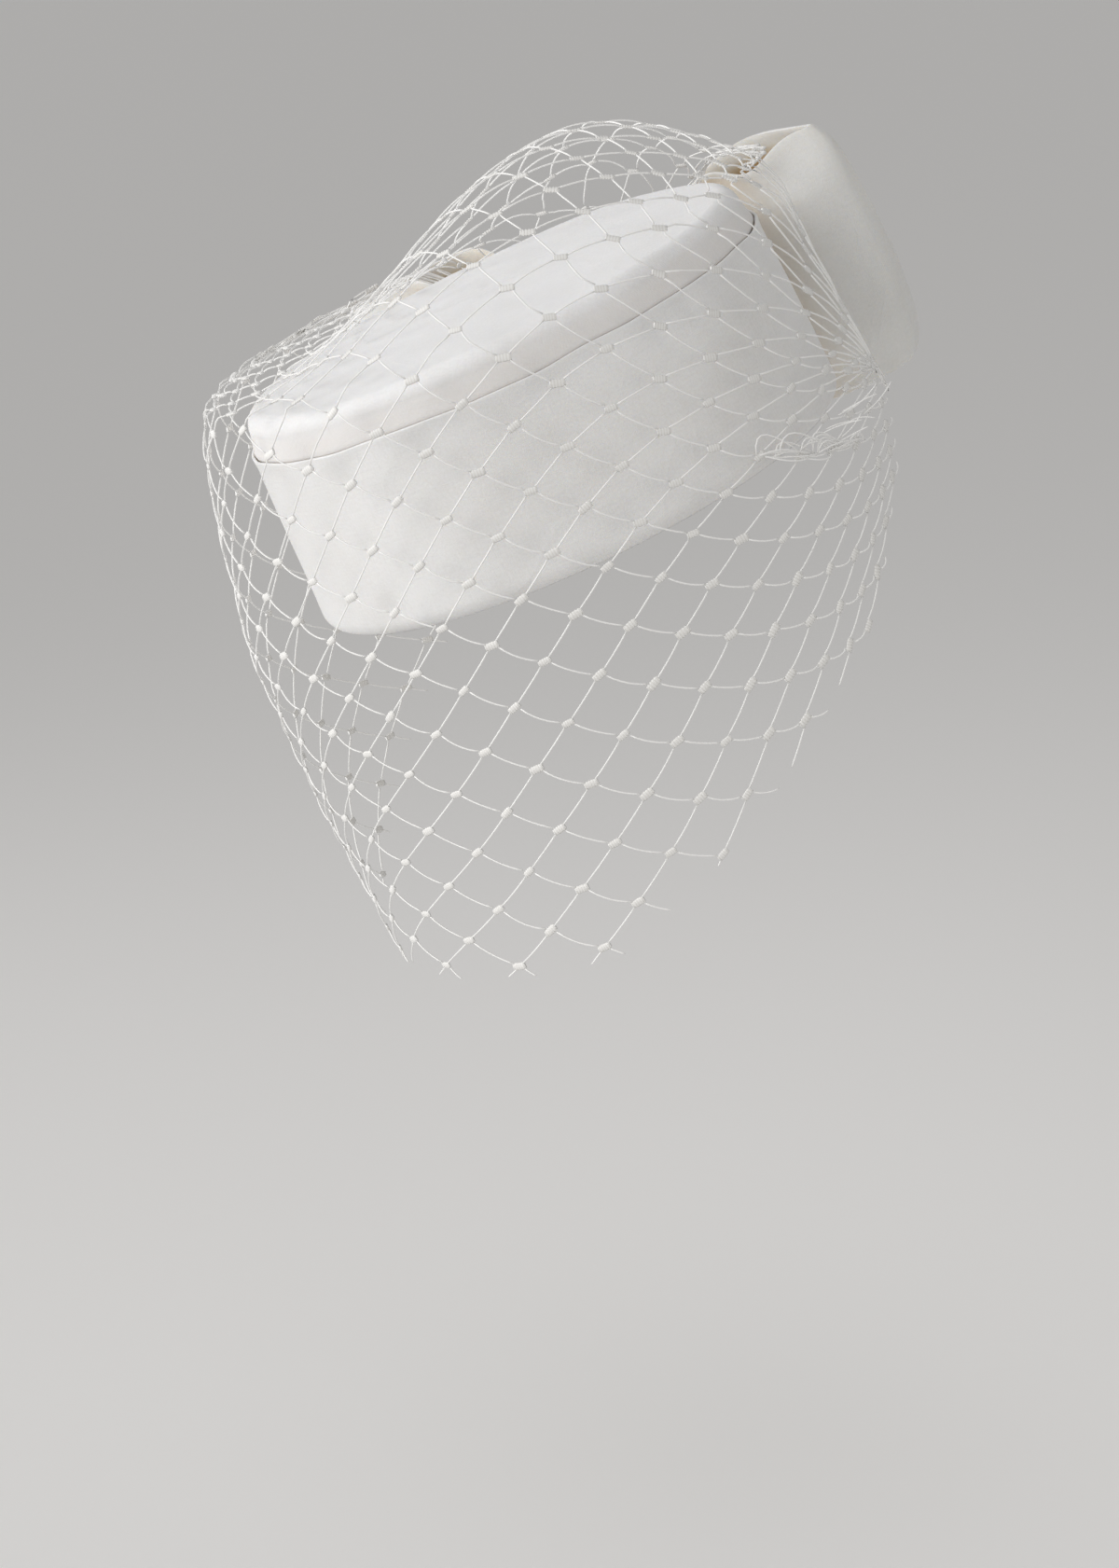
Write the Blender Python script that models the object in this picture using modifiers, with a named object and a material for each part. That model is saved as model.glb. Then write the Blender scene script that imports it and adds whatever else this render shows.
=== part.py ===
"""Pillbox hat in white satin with a turned tip, a flat bow at the back and a coarse net veil.

World frame: +Z up, the wearer faces -Y, +X is the wearer's left. The origin is the middle of the
rim, where the hat sits on the head. The hat is modelled upright and one empty leans it as worn.
"""

import math

import bpy
import numpy as np
from mathutils import Vector

# Lean of the hat as worn
worn_lean_deg = 25.0
lean_side_deg = 202.0

# Clearance left between pieces
piece_gap = 0.0004

# Side band
rim_radius = 0.0862
band_top_radius = 0.0840
band_height = 0.0575
band_wall = 0.0025
rim_corner_radius = 0.0050
hem_height = 0.0120
hem_extra = 0.0014
lip_proud = 0.0006
lip_depth = 0.0030

# Crown tip
tip_wall = 0.0024
tip_rise = 0.0125
tip_corner_radius = 0.0095
tip_dome = 0.0020
tip_skirt_depth = 0.0090

# Bow
bow_reach = 0.0880
bow_middle_x = -0.0080
bow_start = 0.0035
bow_stand_off = 0.0112
bow_middle_y = band_top_radius + bow_stand_off
bow_middle_z = 0.0265
ribbon_half_width = 0.0430
pinch_half_width = 0.0190
ribbon_wall = 0.0014
loop_puff = 0.0145
pinch_puff = 0.0024
pleat_depth = 0.0022
pleat_count = 3
knot_width = 0.0200
knot_wall = 0.0016
knot_room_y = 0.0032
knot_room_z = 0.0046

# Veil
net_bar = 0.0017
net_columns = 9
net_top_rows = 7
net_wall_rows = 11
net_row_drop = 0.0168
net_left_deg = 114.0
net_right_deg = -132.0
net_stand_off = 0.0065
net_edge_radius = band_top_radius + net_stand_off
net_edge_rise = 0.0060
net_edge_height = band_height + tip_rise + net_edge_rise
pouf_height = 0.0350
pouf_back_drop = 0.0035
gather_stand_off = 0.0019
gather_radius = band_top_radius + gather_stand_off
gather_z = band_height - 0.0005
gather_half_width = 0.0180

# Radius of the hanging net, one row for each height above the rim. Left and right are the wearer's
net_fall = {
    "height": [net_edge_height, 0.0640, 0.0400, 0.0000, -0.0500, -0.1150],
    "front_radius": [net_edge_radius, 0.0950, 0.0955, 0.0970, 0.1010, 0.1040],
    "left_radius": [net_edge_radius, 0.0950, 0.0960, 0.1000, 0.1050, 0.1050],
    "right_radius": [net_edge_radius, 0.0970, 0.1060, 0.1160, 0.1170, 0.1140],
    "back_radius": [net_edge_radius, 0.0940, 0.0910, 0.0874, 0.0880, 0.0880],
}

# Height of the net's cut edge, one row for each direction round the head
net_edge = {
    "turn_deg": [-132.0, -118.0, -95.0, -65.0, 0.0, 30.0, 60.0, 90.0, 116.0],
    "height": [-0.012, -0.045, -0.078, -0.102, -0.106, -0.084, -0.052, -0.020, -0.004],
}


def clear_scene():
    for found in list(bpy.data.objects):
        bpy.data.objects.remove(found, do_unlink=True)


def make_collection(name):
    made = bpy.data.collections.new(name)
    bpy.context.scene.collection.children.link(made)
    return made


def make_material(name, colour, roughness, sheen=0.0):
    made = bpy.data.materials.new(name)
    made.use_nodes = True
    shader = made.node_tree.nodes["Principled BSDF"]
    shader.inputs["Base Color"].default_value = (*colour, 1.0)
    shader.inputs["Roughness"].default_value = roughness
    shader.inputs["Metallic"].default_value = 0.0
    shader.inputs["Sheen Weight"].default_value = sheen
    return made


def place(name, mesh, material, smooth=True):
    """Adds a mesh to the hat's collection, in the hat's own upright frame."""
    mesh.materials.append(material)
    mesh.polygons.foreach_set("use_smooth", np.full(len(mesh.polygons), smooth))
    made = bpy.data.objects.new(name, mesh)
    hat.objects.link(made)
    made.parent = lean
    return made


def arc(centre, radius, start_deg, end_deg, steps):
    """Points of a profile arc, as (distance from the axis, height)."""
    turn = np.radians(np.linspace(start_deg, end_deg, steps))
    return [(centre[0] + radius * math.cos(t), centre[1] + radius * math.sin(t)) for t in turn]


def turned(name, profile, closed, material):
    """A round piece: its half profile turned once about the hat's axis."""
    count = len(profile)
    edges = [(i, i + 1) for i in range(count - 1)]
    if closed:
        edges.append((count - 1, 0))
    mesh = bpy.data.meshes.new(name)
    mesh.from_pydata([(r, 0.0, z) for r, z in profile], edges, [])
    made = place(name, mesh, material)
    screw = made.modifiers.new("turn", "SCREW")
    screw.angle = math.tau
    screw.steps = 64
    screw.render_steps = 64
    screw.use_merge_vertices = True
    screw.merge_threshold = 0.00005
    screw.use_smooth_shade = True
    return made


def grid_mesh(name, points, wrap):
    """Quads over a grid of points, shape (along, across, 3). wrap joins the ends of along."""
    along, across = points.shape[:2]
    index = np.arange(along * across).reshape(along, across)
    ahead = np.roll(index, -1, axis=0) if wrap else index[1:]
    here = index if wrap else index[:-1]
    quads = np.stack([here[:, :-1], ahead[:, :-1], ahead[:, 1:], here[:, 1:]], axis=-1)
    mesh = bpy.data.meshes.new(name)
    mesh.from_pydata(points.reshape(-1, 3).tolist(), [], quads.reshape(-1, 4).tolist())
    return mesh


def band_radius(height):
    """The band narrows a little from the rim to the top."""
    return rim_radius + (band_top_radius - rim_radius) * height / band_height


def ease(share):
    """Rises from 0 to 1 with level ends."""
    held = np.clip(share, 0.0, 1.0)
    return held * held * (3.0 - 2.0 * held)


clear_scene()
hat = make_collection("pillbox_hat")

lean = bpy.data.objects.new("worn_lean", None)
hat.objects.link(lean)
lean_side = math.radians(lean_side_deg)
lean.rotation_mode = "AXIS_ANGLE"
turn_axis = Vector((0.0, 0.0, 1.0)).cross((math.cos(lean_side), math.sin(lean_side), 0.0))
lean.rotation_axis_angle = (math.radians(worn_lean_deg), *turn_axis)

satin_tip = make_material("satin_tip", (0.80, 0.80, 0.83), 0.42, 0.2)
satin_band = make_material("satin_band", (0.80, 0.79, 0.75), 0.38, 0.2)
satin_bow = make_material("satin_bow", (0.78, 0.77, 0.72), 0.36, 0.2)
net_thread = make_material("net_thread", (0.84, 0.82, 0.77), 0.60)


# Side band: a stiffened satin wall, its rim turned under and its top folded over into a lip
lip_low = band_height - lip_depth
lip_round = (band_wall + lip_proud) / 2
rim_inner = band_radius(rim_corner_radius) - band_wall - hem_extra
hem_round = 0.0016

band_profile = arc((band_top_radius - band_wall + lip_round, band_height - lip_round),
                   lip_round, 180, 0, 7)
band_profile += [(band_radius(lip_low) + lip_proud, lip_low)]
band_profile += [(band_radius(lip_low), lip_low - 0.0008)]
band_profile += [(band_radius(h), h) for h in (band_height * 0.64, band_height * 0.36)]
band_profile += arc((rim_radius - rim_corner_radius, rim_corner_radius), rim_corner_radius, 0, -68, 5)
band_profile += arc((rim_inner + hem_round, hem_round), hem_round, -112, -180, 3)
band_profile += [(rim_inner, hem_height)]
band_profile += [(band_radius(hem_height) - band_wall, hem_height + hem_extra)]
side_band = turned("side_band", band_profile, True, satin_band)


# Crown tip: a flat satin top whose edge turns down and goes inside the band's lip
seat_height = band_height + piece_gap
tip_height = band_height + tip_rise
skirt_radius = band_top_radius - band_wall - piece_gap
shoulder = (band_top_radius - 0.0016 - tip_corner_radius, tip_height - tip_corner_radius)
inner_corner = tip_corner_radius - tip_wall
skirt_inner = skirt_radius - tip_wall

tip_profile = [(0.0, tip_height + tip_dome), (shoulder[0] * 0.5, tip_height + tip_dome * 0.75)]
tip_profile += arc(shoulder, tip_corner_radius, 90, 0, 8)
tip_profile += [(shoulder[0] + tip_corner_radius, seat_height)]
tip_profile += [(skirt_radius, seat_height), (skirt_radius, seat_height - tip_skirt_depth)]
tip_profile += [(skirt_inner, seat_height - tip_skirt_depth)]
tip_profile += arc((skirt_inner - inner_corner, shoulder[1]), inner_corner, 0, 90, 5)
tip_profile += [(shoulder[0] * 0.5, tip_height + tip_dome * 0.75 - tip_wall)]
tip_profile += [(0.0, tip_height + tip_dome - tip_wall)]
crown_tip = turned("crown_tip", tip_profile, False, satin_tip)


# Bow: two flat loops of wide folded satin, pinched and pleated where the wrap holds them
def loop_points(side, around=36, across=10):
    """A teardrop loop in plan, as tall as the ribbon is wide. side is 1 or -1.

    Share runs 0 at the wrap to 1 at the outer fold. The loop's half thickness grows with the
    power 0.8 of share, its half height eases out to the ribbon's width, and pleats run out
    from the wrap and fade.
    """
    turn = np.linspace(0.0, math.tau, around, endpoint=False)[:, None]
    level = np.linspace(-1.0, 1.0, across + 1)[None, :]
    share = (1.0 - np.cos(turn)) / 2.0 + 0.0 * level
    puff = pinch_puff + (loop_puff - pinch_puff) * share**0.8
    half = pinch_half_width + (ribbon_half_width - pinch_half_width) * ease(share / 0.72)
    half = half - 0.0030 * share**6
    pleats = pleat_depth * np.cos(math.tau * pleat_count * level / 2.0) * (1.0 - ease(share / 0.75))
    x = bow_middle_x + side * (bow_start + bow_reach * share)
    y = bow_middle_y - puff * np.sin(turn) * (1.0 - 0.12 * level * share) + pleats
    z = bow_middle_z + half * level
    return np.stack([x, y, z], axis=-1)


for side, name in ((1, "bow_loop_left"), (-1, "bow_loop_right")):
    mesh = grid_mesh(name, loop_points(side), wrap=True)
    if side > 0:
        mesh.flip_normals()
    loop = place(name, mesh, satin_bow)
    wall = loop.modifiers.new("ribbon_wall", "SOLIDIFY")
    wall.thickness = ribbon_wall
    wall.offset = 0.0

# Wrap round the pinched middle of the bow
knot_inside_y = pinch_puff + pleat_depth + ribbon_wall / 2 + knot_room_y
knot_inside_z = pinch_half_width + knot_room_z
around = np.linspace(0.0, math.tau, 28, endpoint=False)[:, None]
along = np.linspace(-1.0, 1.0, 7)[None, :]
swell = 0.0012 * (1.0 - along**2)
flat_y = np.sign(np.cos(around)) * np.abs(np.cos(around)) ** 0.5
flat_z = np.sign(np.sin(around)) * np.abs(np.sin(around)) ** 0.5
knot_points = np.stack([
    bow_middle_x + knot_width / 2 * along + 0.0 * around,
    bow_middle_y + (knot_inside_y + swell) * flat_y,
    bow_middle_z + (knot_inside_z + swell) * flat_z,
], axis=-1)
mesh = grid_mesh("bow_wrap", knot_points, wrap=True)
mesh.flip_normals()
bow_wrap = place("bow_wrap", mesh, satin_bow)
wall = bow_wrap.modifiers.new("wrap_wall", "SOLIDIFY")
wall.thickness = knot_wall
wall.offset = 1.0


# Veil: coarse diamond net gathered under the bow, pouffed over the tip and hanging in front
def fall_radius(turn_deg, height):
    """Distance of the hanging net from the axis, blended round the head between the columns."""
    heights = net_fall["height"][::-1]
    column = {key: np.interp(height, heights, net_fall[key][::-1]) for key in net_fall}
    front = np.clip(np.cos(np.radians(turn_deg)), 0.0, 1.0) ** 2
    back = np.clip(-np.cos(np.radians(turn_deg)), 0.0, 1.0) ** 2
    left = np.where(turn_deg > 0, 1.0 - front - back, 0.0)
    right = np.where(turn_deg > 0, 0.0, 1.0 - front - back)
    return (column["front_radius"] * front + column["back_radius"] * back
            + column["left_radius"] * left + column["right_radius"] * right)


def hanging_net(turn_deg, drop):
    """A point of the net below the tip's edge. drop is the way down from that edge."""
    height = net_edge_height - drop
    radius = fall_radius(turn_deg, height)
    turn = np.radians(turn_deg)
    return np.stack([radius * np.sin(turn), -radius * np.cos(turn), height], axis=-1)


def pouf_net(turn_deg, share):
    """A point of the net over the tip. share runs 0 at the tip's edge to 1 at the gather.

    In plan each column bends in to the gather along a quarter ellipse. The pouf's height is a
    dome over the disc, fuller to the wearer's left, and it drops behind the tip to the gather.
    """
    turn = np.radians(turn_deg)
    edge_x = net_edge_radius * np.sin(turn)
    edge_y = -net_edge_radius * np.cos(turn)
    inward = np.sqrt(np.clip(1.0 - share**2, 0.0, 1.0))
    spread = bow_middle_x + gather_half_width * np.sin(turn / 2.0)
    x = edge_x * inward + spread * share**2
    gather_y = np.sqrt(gather_radius**2 - spread**2)
    y = edge_y + (gather_y - edge_y) * (share + 0.09 * np.sin(math.pi * share**4))
    reach = np.clip(np.hypot(x, y) / net_edge_radius, 0.0, 1.0)
    fuller_left = ease((x / net_edge_radius + 0.75) / 1.1)
    dome = pouf_height * fuller_left * (1.0 - reach**2.5)
    back_drop = pouf_back_drop * np.clip(y / net_edge_radius + 0.2, 0.0, 1.0) * ease(share / 0.3)
    puffed = net_edge_height + dome - back_drop
    drop = ease((share - 0.82) / 0.18)
    return np.stack([x, y, puffed + (gather_z - puffed) * drop], axis=-1)


def net_node(column, row):
    """Node of the diamond lattice. Odd rows sit half a column over."""
    turn_deg = net_right_deg + (net_left_deg - net_right_deg) * column / net_columns
    if row < 0:
        return pouf_net(np.array(turn_deg), np.array(-row / net_top_rows))
    return hanging_net(np.array(turn_deg), np.array(row * net_row_drop))


nodes = {}
node_points = []
cells = []


def node_index(column, row):
    key = (column, row)
    if key not in nodes:
        nodes[key] = len(node_points)
        node_points.append(net_node(column, row).tolist())
    return nodes[key]


for row in range(-net_top_rows + 1, net_wall_rows):
    odd = row % 2
    for step in range(net_columns + 1 - odd):
        column = step + odd * 0.5
        if column < 0.5 or column > net_columns - 0.5:
            continue
        turn_deg = net_right_deg + (net_left_deg - net_right_deg) * column / net_columns
        lowest = np.interp(turn_deg, net_edge["turn_deg"], net_edge["height"])
        if net_edge_height - (row + 1) * net_row_drop < lowest - net_row_drop / 2:
            continue
        cells.append([node_index(column, row - 1), node_index(column - 0.5, row),
                      node_index(column, row + 1), node_index(column + 0.5, row)])

mesh = bpy.data.meshes.new("veil")
mesh.from_pydata(node_points, [], cells)
veil = place("veil", mesh, net_thread, smooth=False)
bars = veil.modifiers.new("net_bars", "WIREFRAME")
bars.thickness = net_bar
bars.use_boundary = True
bars.use_even_offset = False
bars.use_replace = True
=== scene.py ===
"""Pillbox hat in white satin, worn tilted, with a turned tip, a flat satin bow and a net veil.

Metres, +Z up, the wearer faces -Y and +X is the wearer's left. The origin is the middle of the
rim. The hat is worked out upright, and worn() leans every piece as the hat is worn.
"""
import math

import bmesh
import bpy
import numpy as np
from mathutils import Matrix, Vector


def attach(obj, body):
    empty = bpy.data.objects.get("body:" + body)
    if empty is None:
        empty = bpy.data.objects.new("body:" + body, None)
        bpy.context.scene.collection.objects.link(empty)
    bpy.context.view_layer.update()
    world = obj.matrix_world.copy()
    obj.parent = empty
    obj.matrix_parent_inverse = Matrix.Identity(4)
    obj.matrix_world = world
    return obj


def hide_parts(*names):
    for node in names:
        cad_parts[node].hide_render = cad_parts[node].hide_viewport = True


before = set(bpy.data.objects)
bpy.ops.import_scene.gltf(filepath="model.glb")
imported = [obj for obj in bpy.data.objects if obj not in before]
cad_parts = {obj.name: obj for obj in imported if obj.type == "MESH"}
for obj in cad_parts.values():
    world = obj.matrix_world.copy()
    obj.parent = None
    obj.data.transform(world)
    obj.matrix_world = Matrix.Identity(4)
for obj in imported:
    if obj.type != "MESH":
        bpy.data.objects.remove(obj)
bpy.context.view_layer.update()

for spare in ("Cube", "Light", "Camera"):
    if spare in bpy.data.objects:
        bpy.data.objects.remove(bpy.data.objects[spare], do_unlink=True)


# Studio
# A plain pale floor far below the hat, which is held in the air, and a soft white room. Two
# soft boxes light the hat from the left and the front left, and two weak ones fill the rest.
# Their beams are narrow, so that the floor behind keeps one even tone.
floor_drop = 0.34
floor_half = 9.0
floor_colour = (0.93, 0.92, 0.91)

floor_mesh = bpy.data.meshes.new("studio_floor")
floor_corners = [(-1, -1), (1, -1), (1, 1), (-1, 1)]
floor_points = [(floor_half * x, floor_half * y, -floor_drop) for x, y in floor_corners]
floor_mesh.from_pydata(floor_points, [], [(0, 1, 2, 3)])
studio_floor = bpy.data.objects.new("studio_floor", floor_mesh)
bpy.context.scene.collection.objects.link(studio_floor)

floor_paper = bpy.data.materials.new("floor_paper")
floor_paper.use_nodes = True
paper_shader = floor_paper.node_tree.nodes["Principled BSDF"]
paper_shader.inputs["Base Color"].default_value = (*floor_colour, 1.0)
paper_shader.inputs["Roughness"].default_value = 0.9
floor_mesh.materials.append(floor_paper)

room = bpy.data.worlds.new("soft_room")
room.use_nodes = True
room.node_tree.nodes["Background"].inputs["Color"].default_value = (1.0, 0.995, 0.985, 1.0)
room.node_tree.nodes["Background"].inputs["Strength"].default_value = 0.45
bpy.context.scene.world = room
bpy.context.scene.view_settings.view_transform = "Standard"

beam = math.radians(44.0)
studio_lights = {
    "name": ["window_left", "front_left", "sky_above", "fill_right"],
    "place": [(-1.9, -0.5, 0.35), (-0.7, -1.7, 0.6), (-0.3, -0.3, 1.9), (1.5, -1.2, 0.45)],
    "size": [1.2, 1.2, 1.4, 1.2],
    "watts": [2.5, 1.25, 0.35, 0.42],
    "colour": [(1.0, 0.99, 0.985), (1.0, 0.99, 0.98), (0.97, 0.98, 1.0), (1.0, 0.96, 0.91)],
}
for name, place, size, watts, colour in zip(*studio_lights.values()):
    light = bpy.data.lights.new(name, "AREA")
    light.shape = "SQUARE"
    light.size = size
    light.energy = watts
    light.color = colour
    light.spread = beam
    lamp = bpy.data.objects.new(name, light)
    lamp.location = place
    lamp.rotation_euler = (-Vector(place)).to_track_quat("-Z", "Y").to_euler()
    bpy.context.scene.collection.objects.link(lamp)


# Camera
# An 85 mm lens about 1.13 m from the hat, turned 22 degrees round it and looking 17.6 degrees
# down, so that the rim's middle stands a little above the middle of the upright picture.
view_turn = math.radians(22.0)
view_down = math.radians(17.57)
view_reach = 1.132
view_aside = (-0.00713, -0.0857)

view_right = Vector((math.cos(view_turn), math.sin(view_turn), 0.0))
view_level = Vector((-math.sin(view_turn), math.cos(view_turn), 0.0))
view_ahead = view_level * math.cos(view_down) - Vector((0.0, 0.0, math.sin(view_down)))
view_up = view_right.cross(view_ahead)
lens = bpy.data.cameras.new("portrait_camera")
lens.lens = 85.0
lens.sensor_fit = "VERTICAL"
lens.sensor_height = 36.0
lens.sensor_width = 36.0
lens.clip_start = 0.05
camera = bpy.data.objects.new("portrait_camera", lens)
camera.matrix_world = Matrix.Translation(
    view_right * view_aside[0] + view_up * view_aside[1] - view_ahead * view_reach
) @ Matrix((view_right, view_up, -view_ahead)).transposed().to_4x4()
bpy.context.scene.collection.objects.link(camera)
bpy.context.scene.camera = camera


# Side band
# A wall of stiff buckram covered in one piece of white satin. The satin turns in under the rim.
# At the top it folds over into a thin crisp edge, under which it eases into shallow puckers.
worn_lean = math.radians(25.0)
lean_side = math.radians(202.0)
rim_radius = 0.0862
band_top_radius = 0.0840
band_height = 0.0575
band_wall = 0.0025
rim_corner_radius = 0.0050
hem_height = 0.0120
hem_extra = 0.0014
lip_proud = 0.0003
lip_depth = 0.0040
fold_round = 0.0005
fold_stand = 0.0004
ledge_drop = 0.0006

lean_axis = Vector((0.0, 0.0, 1.0)).cross((math.cos(lean_side), math.sin(lean_side), 0.0))
lean_matrix = np.array(Matrix.Rotation(worn_lean, 3, lean_axis))


def worn(points):
    """Points of the upright hat turned by the lean about the rim's middle: each point times the
    turn's matrix."""
    return points @ lean_matrix.T


def ease(share):
    """3 s squared less 2 s cubed: rises from 0 to 1 with level ends."""
    held = np.clip(share, 0.0, 1.0)
    return held * held * (3.0 - 2.0 * held)


def arc(centre, radius, start_deg, end_deg, steps):
    """Centre plus radius times (cos, sin) of evenly stepped turns: a profile's round corner."""
    turn = np.radians(np.linspace(start_deg, end_deg, steps))
    return np.stack([centre[0] + radius * np.cos(turn), centre[1] + radius * np.sin(turn)], axis=-1)


def run(start, end, steps):
    """Even steps on the straight line from start to end, without its two end points."""
    share = np.linspace(0.0, 1.0, steps + 2)[1:-1, None]
    return np.array(start) * (1.0 - share) + np.array(end) * share


def band_radius(height):
    """The rim's radius going evenly to the top's radius over the band's height."""
    return rim_radius + (band_top_radius - rim_radius) * height / band_height


def ripple(turn, height, seed, count=7, slowest=3, fastest=17):
    """Sum of a few sines of turn and height with fixed whole numbers of waves, from -1 to 1: the
    slow unevenness of cloth pulled over a form."""
    dice = np.random.default_rng(seed)
    waves = dice.integers(slowest, fastest, count)
    rises = dice.uniform(-150.0, 150.0, count)
    starts = dice.uniform(0.0, math.tau, count)
    angle = turn[..., None] * waves + height[..., None] * rises + starts
    return np.sin(angle).sum(axis=-1) / count * 1.8


def puckers(turn, height, top, seed, count=30, deep=0.00030, long=0.013):
    """Sum of shallow grooves that start at the lip and fade downwards. Each is a bell curve
    across, leaning a little, times a fade over its length."""
    dice = np.random.default_rng(seed)
    middles = np.sort(dice.uniform(-math.pi, math.pi, count))
    widths = dice.uniform(0.016, 0.040, count)
    leans = dice.uniform(-9.0, 9.0, count)
    reaches = dice.uniform(0.5, 1.6, count) * long
    depths = dice.uniform(0.3, 1.0, count) * deep
    below = np.clip(top - height, 0.0, None)[..., None]
    apart = np.angle(np.exp(1j * (turn[..., None] - middles - leans * below)))
    return -(depths * np.exp(-(apart / widths) ** 2) * np.exp(-(below / reaches) ** 2)).sum(axis=-1)


def lip_wave(turn):
    """The slight waviness of the folded edge round the top, in metres."""
    return 0.00034 * ripple(turn, 0.0 * turn, 8, fastest=23)


def cloth_surface(name, points, cloth, join_rows, join_columns, material, inner=None, shade=None):
    """A mesh of quads over a grid of points, (rows, columns, 3). The grid joins itself where
    join_rows or join_columns is true. cloth is each point's place on the flat cloth in metres,
    with one row or column more at each join, and becomes the UV map cloth. inner picks the faces
    that take the second material. shade is each point's share of the shaded colour, which is
    painted shade. The signed volume tells which way the faces have to turn."""
    rows, columns = points.shape[:2]
    row_steps = rows if join_rows else rows - 1
    column_steps = columns if join_columns else columns - 1
    i, j = np.meshgrid(np.arange(row_steps), np.arange(column_steps), indexing="ij")
    quad_steps = ((0, 0), (1, 0), (1, 1), (0, 1))
    corners = np.stack([np.stack([i + a, j + b], axis=-1) for a, b in quad_steps], axis=2)
    quads = (corners[..., 0] % rows) * columns + corners[..., 1] % columns
    places = cloth[corners[..., 0], corners[..., 1]]
    flat = points.reshape(-1, 3)
    a, b, c, d = (flat[quads.reshape(-1, 4)[:, k]] for k in range(4))
    if (np.cross(a, b) * c + np.cross(a, c) * d).sum() < 0.0:
        quads = quads[..., ::-1]
        places = places[..., ::-1, :]
    mesh = bpy.data.meshes.new(name)
    mesh.from_pydata(flat.tolist(), [], quads.reshape(-1, 4).tolist())
    uv = mesh.uv_layers.new(name="cloth")
    uv.data.foreach_set("uv", places.reshape(-1))
    if shade is not None:
        mesh.attributes.new("shade", "FLOAT", "POINT").data.foreach_set("value", shade.reshape(-1))
    mesh.materials.append(material[0])
    if inner is not None:
        mesh.materials.append(material[1])
        mesh.polygons.foreach_set("material_index", inner[i, j].astype(np.int32).reshape(-1))
    mesh.polygons.foreach_set("use_smooth", np.ones(len(mesh.polygons), dtype=bool))
    made = bpy.data.objects.new(name, mesh)
    bpy.context.scene.collection.objects.link(made)
    return made


def merge_poles(made):
    """Joins the points that lie on one another, so that a surface closes where its rings shrink
    to a point."""
    work = bmesh.new()
    work.from_mesh(made.data)
    bmesh.ops.remove_doubles(work, verts=work.verts, dist=1e-6)
    work.to_mesh(made.data)
    work.free()


def node_group(name, inputs, outputs):
    """An empty shader node group with these named sockets."""
    group = bpy.data.node_groups.new(name, "ShaderNodeTree")
    for label, kind, value in inputs:
        made = group.interface.new_socket(label, in_out="INPUT", socket_type=kind)
        made.default_value = value
    for label, kind in outputs:
        group.interface.new_socket(label, in_out="OUTPUT", socket_type=kind)
    return group


def add_node(tree, kind, settings=None, values=None, links=None):
    """One node with its settings, input values and incoming links."""
    made = tree.nodes.new(kind)
    for key, value in (settings or {}).items():
        setattr(made, key, value)
    for key, value in (values or {}).items():
        made.inputs[key].default_value = value
    for key, source in (links or {}).items():
        tree.links.new(source, made.inputs[key])
    return made


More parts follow.
